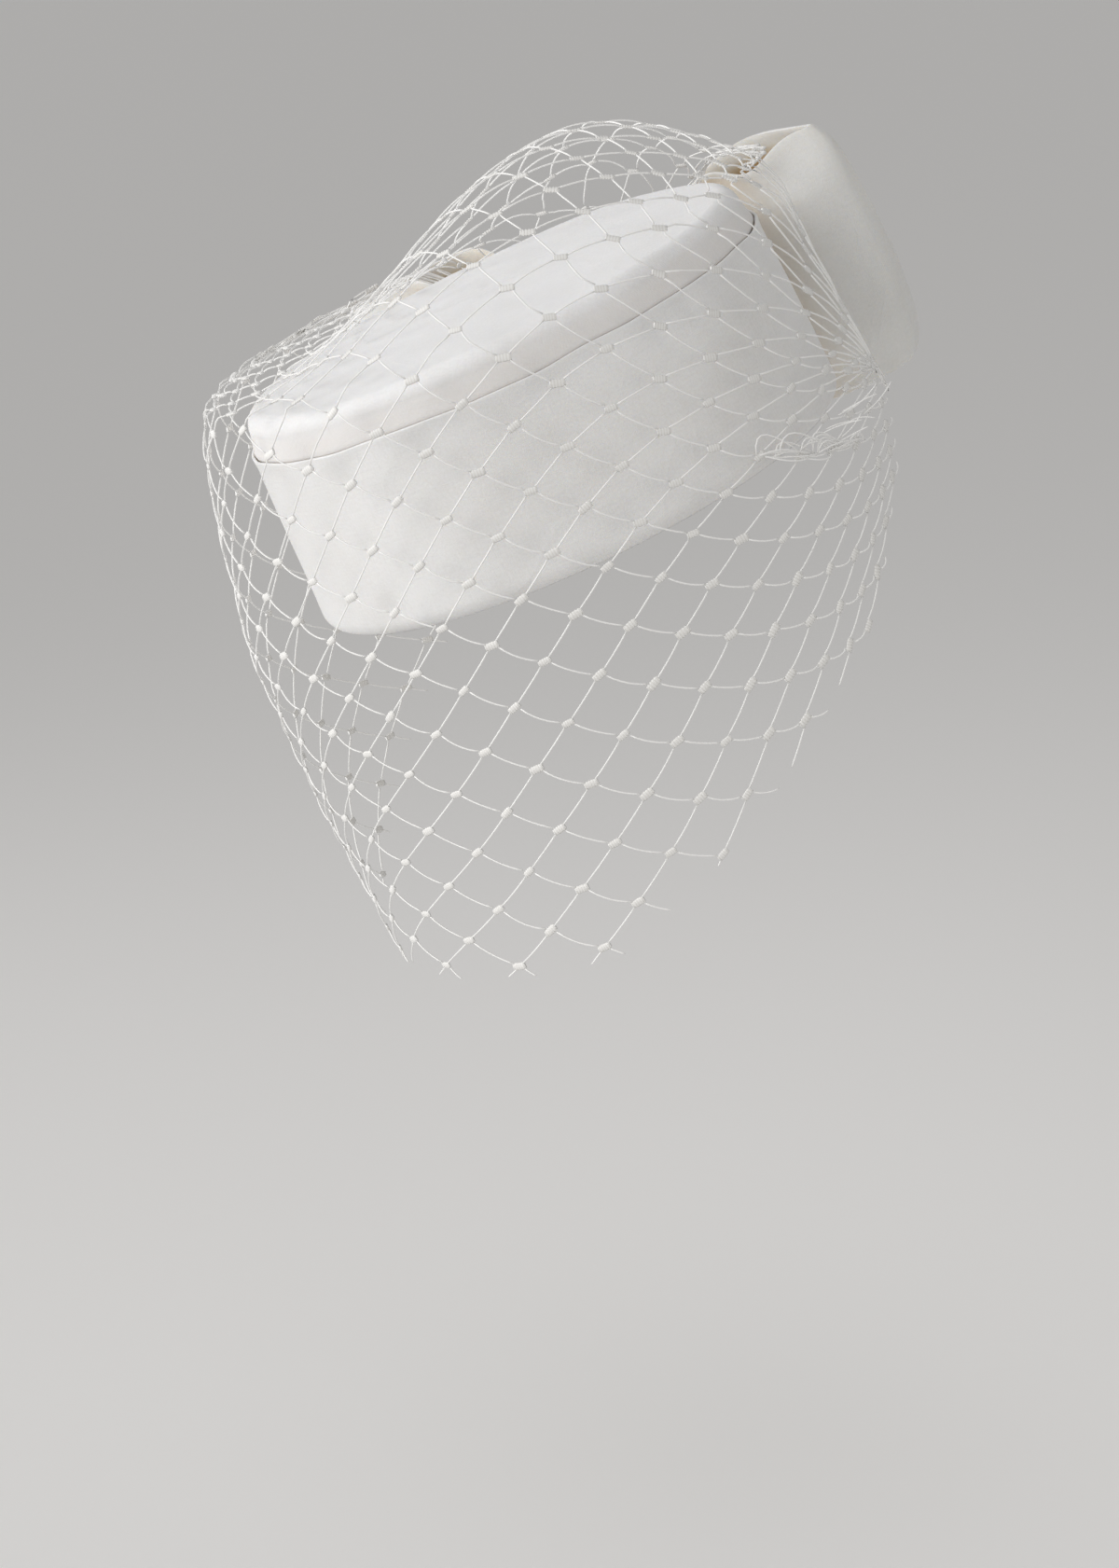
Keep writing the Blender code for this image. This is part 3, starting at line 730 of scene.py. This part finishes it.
def pouf_net(turn_deg, share):
    """A point of the net over the tip. Share runs from 0 at the tip's edge to 1 at the gather. In
    plan each line bends in along a quarter ellipse, and the height is a dome over the disc."""
    turn = np.radians(turn_deg)
    edge_x = net_edge_radius * np.sin(turn)
    edge_y = -net_edge_radius * np.cos(turn)
    inward = np.sqrt(np.clip(1.0 - share**2, 0.0, 1.0))
    spread = bow_middle[0] + gather_half_width * np.sin(turn / 2.0)
    x = edge_x * inward + spread * share**2
    gather_y = np.sqrt(gather_radius**2 - spread**2)
    y = edge_y + (gather_y - edge_y) * (share + 0.09 * np.sin(math.pi * share**4))
    reach = np.clip(np.hypot(x, y) / net_edge_radius, 0.0, 1.0)
    fuller_left = ease((x / net_edge_radius + 0.70) / 1.3)
    dome = pouf_height * fuller_left * (1.0 - reach**2.7)
    back_drop = pouf_back_drop * np.clip(y / net_edge_radius + 0.2, 0.0, 1.0) * ease(share / 0.3)
    puffed = net_edge_height + dome - back_drop
    fall = ease((share - 0.82) / 0.18)
    return np.stack([x, y, puffed + (gather_height - puffed) * fall], axis=-1)


line_turns = np.linspace(-150.0, 130.0, 57)
line_shares = np.linspace(0.0, 1.0, 61)
line_points = pouf_net(line_turns[:, None], line_shares[None, :])
line_lengths = np.linalg.norm(np.diff(line_points, axis=1), axis=-1).sum(axis=1)


def net_point(turn_deg, drop):
    """A point of the net by its direction and its way down from the tip's edge. A drop below 0
    lies on the pouf, at that part of the way to the gather."""
    share = np.clip(-drop / np.interp(turn_deg, line_turns, line_lengths), 0.0, 1.0)
    over = pouf_net(turn_deg, share)
    below = hanging_net(turn_deg, np.maximum(drop, 0.0))
    return np.where((drop < 0.0)[..., None], over, below)


def mesh_column(key, mesh):
    """A column of mesh_lie at any mesh, on a smooth curve through its rows (Catmull and Rom's)."""
    table = np.array(mesh_lie[key])
    table = np.concatenate([[2 * table[0] - table[1]], table, [2 * table[-1] - table[-2]]])
    first, pitch = mesh_lie["mesh"][0], mesh_lie["mesh"][1] - mesh_lie["mesh"][0]
    place = (np.clip(mesh, first - 1.5, mesh_lie["mesh"][-1] + 1.5) - first) / pitch
    cell = np.clip(np.floor(place).astype(int), 0, len(table) - 4)
    t = place - cell
    a, b, c, d = (table[cell + k] for k in range(4))
    return b + 0.5 * t * (c - a + t * (2 * a - 5 * b + 4 * c - d + t * (3 * (b - c) + d - a)))


def mesh_place(mesh, row):
    """Direction in degrees and drop in metres of a point of the mesh pattern, which lies mesh
    columns round and row rows down. Above and below the middle row it follows two straight
    lines, rounded where they meet."""
    below = (row + np.sqrt(row * row + 1.5)) / 2.0
    above = below - row
    turn = mesh_column("turn_deg", mesh) - mesh_column("turn_above", mesh) * above
    turn = turn + mesh_column("turn_below", mesh) * below
    drop = mesh_column("drop_mm", mesh) - mesh_column("rise_above", mesh) * above
    drop = drop + mesh_column("fall_below", mesh) * below
    return turn, drop / 1000.0


def inside_net(turn_deg, drop):
    """True between the gather, the two side ends and the cut edge."""
    cut = net_edge_height - np.interp(turn_deg, net_cut["turn_deg"], net_cut["height"])
    start = -np.interp(turn_deg, line_turns, line_lengths)
    between_ends = (turn_deg > net_right_end) & (turn_deg < net_left_end)
    return between_ends & (drop > start) & (drop < cut)


# Threads
# Every thread between two knots is a thin round cord of twisted cotton and nylon, stiff enough
# to bow a little between its ends.
thread_radius = 0.00026
thread_steps = 7
thread_sides = 5
knot_long = 0.0041
knot_wide = 0.0024
knot_thick = 0.0008
knot_ribs = 6

net_cotton = bpy.data.materials.new("net_cotton")
net_cotton.use_nodes = True
cotton_tree = net_cotton.node_tree
cotton_shader = cotton_tree.nodes["Principled BSDF"]
cotton_space = cotton_tree.nodes.new("ShaderNodeTexCoord").outputs["Object"]
cotton_noise = add_node(cotton_tree, "ShaderNodeTexNoise", None, {"Scale": 160.0, "Detail": 2.0},
                        {"Vector": cotton_space})
cotton_colour = add_node(cotton_tree, "ShaderNodeValToRGB", links={"Fac": cotton_noise.outputs["Fac"]})
cotton_colour.color_ramp.elements[0].color = (0.92, 0.915, 0.895, 1.0)
cotton_colour.color_ramp.elements[1].color = (0.97, 0.967, 0.96, 1.0)
cotton_twist = add_node(cotton_tree, "ShaderNodeTexNoise", None, {"Scale": 2600.0, "Detail": 1.0},
                        {"Vector": cotton_space})
# Painted shade: the knots' grooves mix in a darker cream through the shade attribute
cotton_groove_shade = add_node(cotton_tree, "ShaderNodeAttribute", {"attribute_name": "shade"})
cotton_mix = add_node(cotton_tree, "ShaderNodeMix", {"data_type": "RGBA"},
                      links={0: cotton_groove_shade.outputs["Fac"]})
cotton_tree.links.new(cotton_colour.outputs["Color"], cotton_mix.inputs[6])
cotton_mix.inputs[7].default_value = (0.83, 0.815, 0.78, 1.0)
cotton_relief = add_node(cotton_tree, "ShaderNodeBump", None, {"Strength": 0.4, "Distance": 0.0002},
                         {"Height": cotton_twist.outputs["Fac"]})
cotton_tree.links.new(cotton_mix.outputs[2], cotton_shader.inputs["Base Color"])
cotton_tree.links.new(cotton_relief.outputs["Normal"], cotton_shader.inputs["Normal"])
cotton_shader.inputs["Roughness"].default_value = 0.5
cotton_shader.inputs["Sheen Weight"].default_value = 0.2


def unit(vectors):
    """Each vector over its own length."""
    return vectors / np.maximum(np.linalg.norm(vectors, axis=-1, keepdims=True), 1e-12)


def net_frame(mesh, row):
    """At each point of the mesh pattern: the point, the way across the meshes, the way down them
    and the way out of the net, from small steps of the pattern either way."""
    small = 0.02
    point = net_point(*mesh_place(mesh, row))
    across = unit(net_point(*mesh_place(mesh + small, row)) - net_point(*mesh_place(mesh - small, row)))
    down = net_point(*mesh_place(mesh, row + small)) - net_point(*mesh_place(mesh, row - small))
    out = unit(np.cross(down, across))
    return point, across, unit(np.cross(across, out)), out


def tubes(paths, outs, radii, sides):
    """Round tubes along many paths at once. paths is (tubes, stations, 3), outs one direction
    across each station and radii its radius. Each station's ring is its centre plus radius
    times cos of the angle along the outs and sin along the cross of outs and path. The ends are
    closed by one face each."""
    ahead = unit(np.gradient(paths, axis=1))
    beside = unit(np.cross(ahead, outs))
    front = np.cross(beside, ahead)
    angle = np.linspace(0.0, math.tau, sides, endpoint=False)
    around = front[:, :, None] * np.cos(angle)[:, None] + beside[:, :, None] * np.sin(angle)[:, None]
    return paths[:, :, None] + radii[..., None, None] * around


def ring_faces(rings):
    """The quads of closed rings (pieces, stations, sides, 3) and one cap for each end."""
    count, stations, sides = rings.shape[:3]
    index = np.arange(count * stations * sides).reshape(count, stations, sides)
    turned = np.roll(index, -1, axis=2)
    quads = np.stack([index[:, :-1], index[:, 1:], turned[:, 1:], turned[:, :-1]], axis=-1).reshape(-1, 4)
    caps = np.concatenate([index[:, 0], index[:, -1, ::-1]])
    return rings.reshape(-1, 3), quads, caps


def place_rings(name, groups, material):
    """One mesh from several groups of closed rings, each with its points' share of painted shade."""
    points, faces, shades, before = [], [], [], 0
    for rings, shade in groups:
        shades.append(np.broadcast_to(shade, rings.shape[:3]).reshape(-1))
        corners, quads, caps = ring_faces(rings)
        points.append(corners)
        faces += (quads + before).tolist() + (caps + before).tolist()
        before += len(corners)
    mesh = bpy.data.meshes.new(name)
    mesh.from_pydata(np.vstack(points).tolist(), [], faces)
    mesh.polygons.foreach_set("use_smooth", np.ones(len(mesh.polygons), dtype=bool))
    mesh.attributes.new("shade", "FLOAT", "POINT").data.foreach_set("value", np.concatenate(shades))
    mesh.materials.append(material)
    made = bpy.data.objects.new(name, mesh)
    bpy.context.scene.collection.objects.link(made)
    return made


# Every crossing (line_a, line_b) of the slanting threads that can lie on the net
line_a, line_b = np.meshgrid(np.arange(-32.0, 10.0), np.arange(-18.0, 36.0), indexing="ij")
line_a, line_b = line_a.reshape(-1), line_b.reshape(-1)
on_pattern = ((line_a - line_b) / 2.0 < 3.6) & ((line_a - line_b) / 2.0 > -12.0)
line_a, line_b = line_a[on_pattern], line_b[on_pattern]


def thread_paths(step_a, step_b, droop):
    """The threads from each crossing to the next one along one of the two slants. Each is cut
    where it leaves the net, starts and ends at a corner of its knots, and bows a little outward
    and down by the parabola 4 t (1 - t)."""
    dice = np.random.default_rng(11 + int(step_a))
    fine = np.linspace(0.0, 1.0, 41)
    mesh = ((line_a - line_b) / 2.0)[:, None] + (step_a - step_b) / 2.0 * fine
    row = ((line_a + line_b) / 2.0)[:, None] + 0.5 * fine
    held = inside_net(*mesh_place(mesh, row))
    first = np.where(held.any(axis=1), held.argmax(axis=1), 41)
    last = 40 - held[:, ::-1].argmax(axis=1)
    kept = (first < 41) & (last - first > 4)
    start, end = fine[np.minimum(first, 40)][kept, None], fine[last][kept, None]
    share = start + (end - start) * np.linspace(0.0, 1.0, thread_steps)
    mesh = ((line_a - line_b) / 2.0)[kept, None] + (step_a - step_b) / 2.0 * share
    row = ((line_a + line_b) / 2.0)[kept, None] + 0.5 * share
    point, across, down, out = net_frame(mesh, row)
    side = float(step_a - step_b)
    corner = side * across * knot_long * 0.42 + down * knot_wide * 0.40
    leave = ((1.0 - share) ** 3)[..., None]
    arrive = (share**3)[..., None]
    bow = (4.0 * share * (1.0 - share))[..., None]
    size = dice.uniform(0.3, 1.0, (len(share), 1, 1))
    path = point + corner * leave - corner * arrive + bow * size * (0.0006 * out + droop * down)
    cut_start = (first[kept, None] > 0) & (share < start + 0.02)
    cut_end = (last[kept, None] < 40) & (share > end - 0.02)
    thin = np.where(cut_start | cut_end, 0.7, 1.0)
    return path, out, thread_radius * thin


veil_groups = []
for step_a, step_b, droop in ((0.0, 1.0, 0.0002), (1.0, 0.0, 0.0009)):
    path, out, radii = thread_paths(step_a, step_b, droop)
    veil_groups.append((tubes(worn(path), worn(out), radii, thread_sides), 0.0))

knot_mesh = (line_a - line_b) / 2.0
knot_row = (line_a + line_b) / 2.0
knot_held = inside_net(*mesh_place(knot_mesh, knot_row))
centre, across, down, out = net_frame(knot_mesh[knot_held], knot_row[knot_held])
knot_dice = np.random.default_rng(4)
knot_skew = knot_dice.uniform(-0.25, 0.25, (len(centre), 1))
long_way = unit(across - down * 0.22 + down * knot_skew)
short_way = unit(np.cross(long_way, out))
short_way = short_way * np.sign((short_way * down).sum(axis=-1, keepdims=True))
knot_stations = 2 * knot_ribs - 1
station = np.linspace(-1.0, 1.0, knot_stations)
groove = np.arange(knot_stations) % 2
rib_wide = np.where(groove, 0.84, 1.0) * (1.0 - 0.22 * np.abs(station) ** 4)
rib_thick = np.where(groove, 0.35, 1.0)
pad_wide = np.array([1.0, 0.72, -0.72, -1.0, -0.72, 0.72])
pad_thick = np.array([0.0, 1.0, 1.0, 0.0, -1.0, -1.0])
knot_drop = mesh_place(knot_mesh[knot_held], knot_row[knot_held])
to_gather = -knot_drop[1] / np.interp(knot_drop[0], line_turns, line_lengths)
knot_size = knot_dice.uniform(0.88, 1.1, len(centre)) * (1.0 - 0.55 * ease((to_gather - 0.78) / 0.18))
knot_size = knot_size[:, None, None, None]
long_part = long_way[:, None, None] * (knot_long / 2.0 * station)[None, :, None, None]
wide_part = short_way[:, None, None] * (knot_wide / 2.0 * rib_wide[:, None] * pad_wide)[None, :, :, None]
thick_part = out[:, None, None] * (knot_thick / 2.0 * rib_thick[:, None] * pad_thick)[None, :, :, None]
knots = centre[:, None, None] + knot_size * (long_part + wide_part + thick_part)
if np.linalg.det(np.stack([long_way[0], short_way[0], out[0]])) < 0.0:
    knots = knots[:, :, ::-1]
# The grooves take shade 1: painted shade in the knots' grooves
veil_groups.append((worn(knots), groove[None, :, None].astype(float)))

# At the wearer's left the meshes are drawn together below the bow: slack loops of thread lie
# along the gather, and a few cut ends stand off from it
gather_dice = np.random.default_rng(17)
loop_count = 20
slack_radius = 0.00024
wisp_radius = 0.00020
loop_start = gather_dice.uniform(0.95, 2.3, (loop_count, 1))
loop_reach = gather_dice.uniform(0.30, 0.80, (loop_count, 1))
loop_side = gather_dice.uniform(-0.80, 0.40, (loop_count, 1))
loop_lift = gather_dice.uniform(0.0006, 0.0030, (loop_count, 1))
share = np.linspace(0.0, 1.0, 9)[None, :]
bulge = 4.0 * share * (1.0 - share)
loop_along = loop_start + loop_reach * share
point, across, down, out = net_frame(loop_along + 0.25 * loop_side * bulge, loop_along + loop_side * bulge)
loop_path = point + out * (loop_lift * bulge)[..., None]
loop_radii = np.full(loop_path.shape[:2], slack_radius)
veil_groups.append((tubes(worn(loop_path), worn(out), loop_radii, thread_sides), 0.0))

wisp_count = 9
wisp_mesh = gather_dice.uniform(1.9, 2.9, (wisp_count, 1)) + 0.0 * share
wisp_row = wisp_mesh - gather_dice.uniform(0.0, 1.2, (wisp_count, 1))
wisp_long = gather_dice.uniform(0.006, 0.013, (wisp_count, 1))
wisp_sink = gather_dice.uniform(-0.004, 0.005, (wisp_count, 1))
point, across, down, out = net_frame(wisp_mesh, wisp_row)
wisp_path = point + ((across * 0.7 + out * 0.7) * (wisp_long * share)[..., None]
                     + down * (wisp_sink * share**2)[..., None])
wisp_radii = np.full(wisp_path.shape[:2], wisp_radius)
veil_groups.append((tubes(worn(wisp_path), worn(down), wisp_radii, thread_sides), 0.0))

net_veil = place_rings("net_veil", veil_groups, net_cotton)
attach(net_veil, "root")
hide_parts("veil")
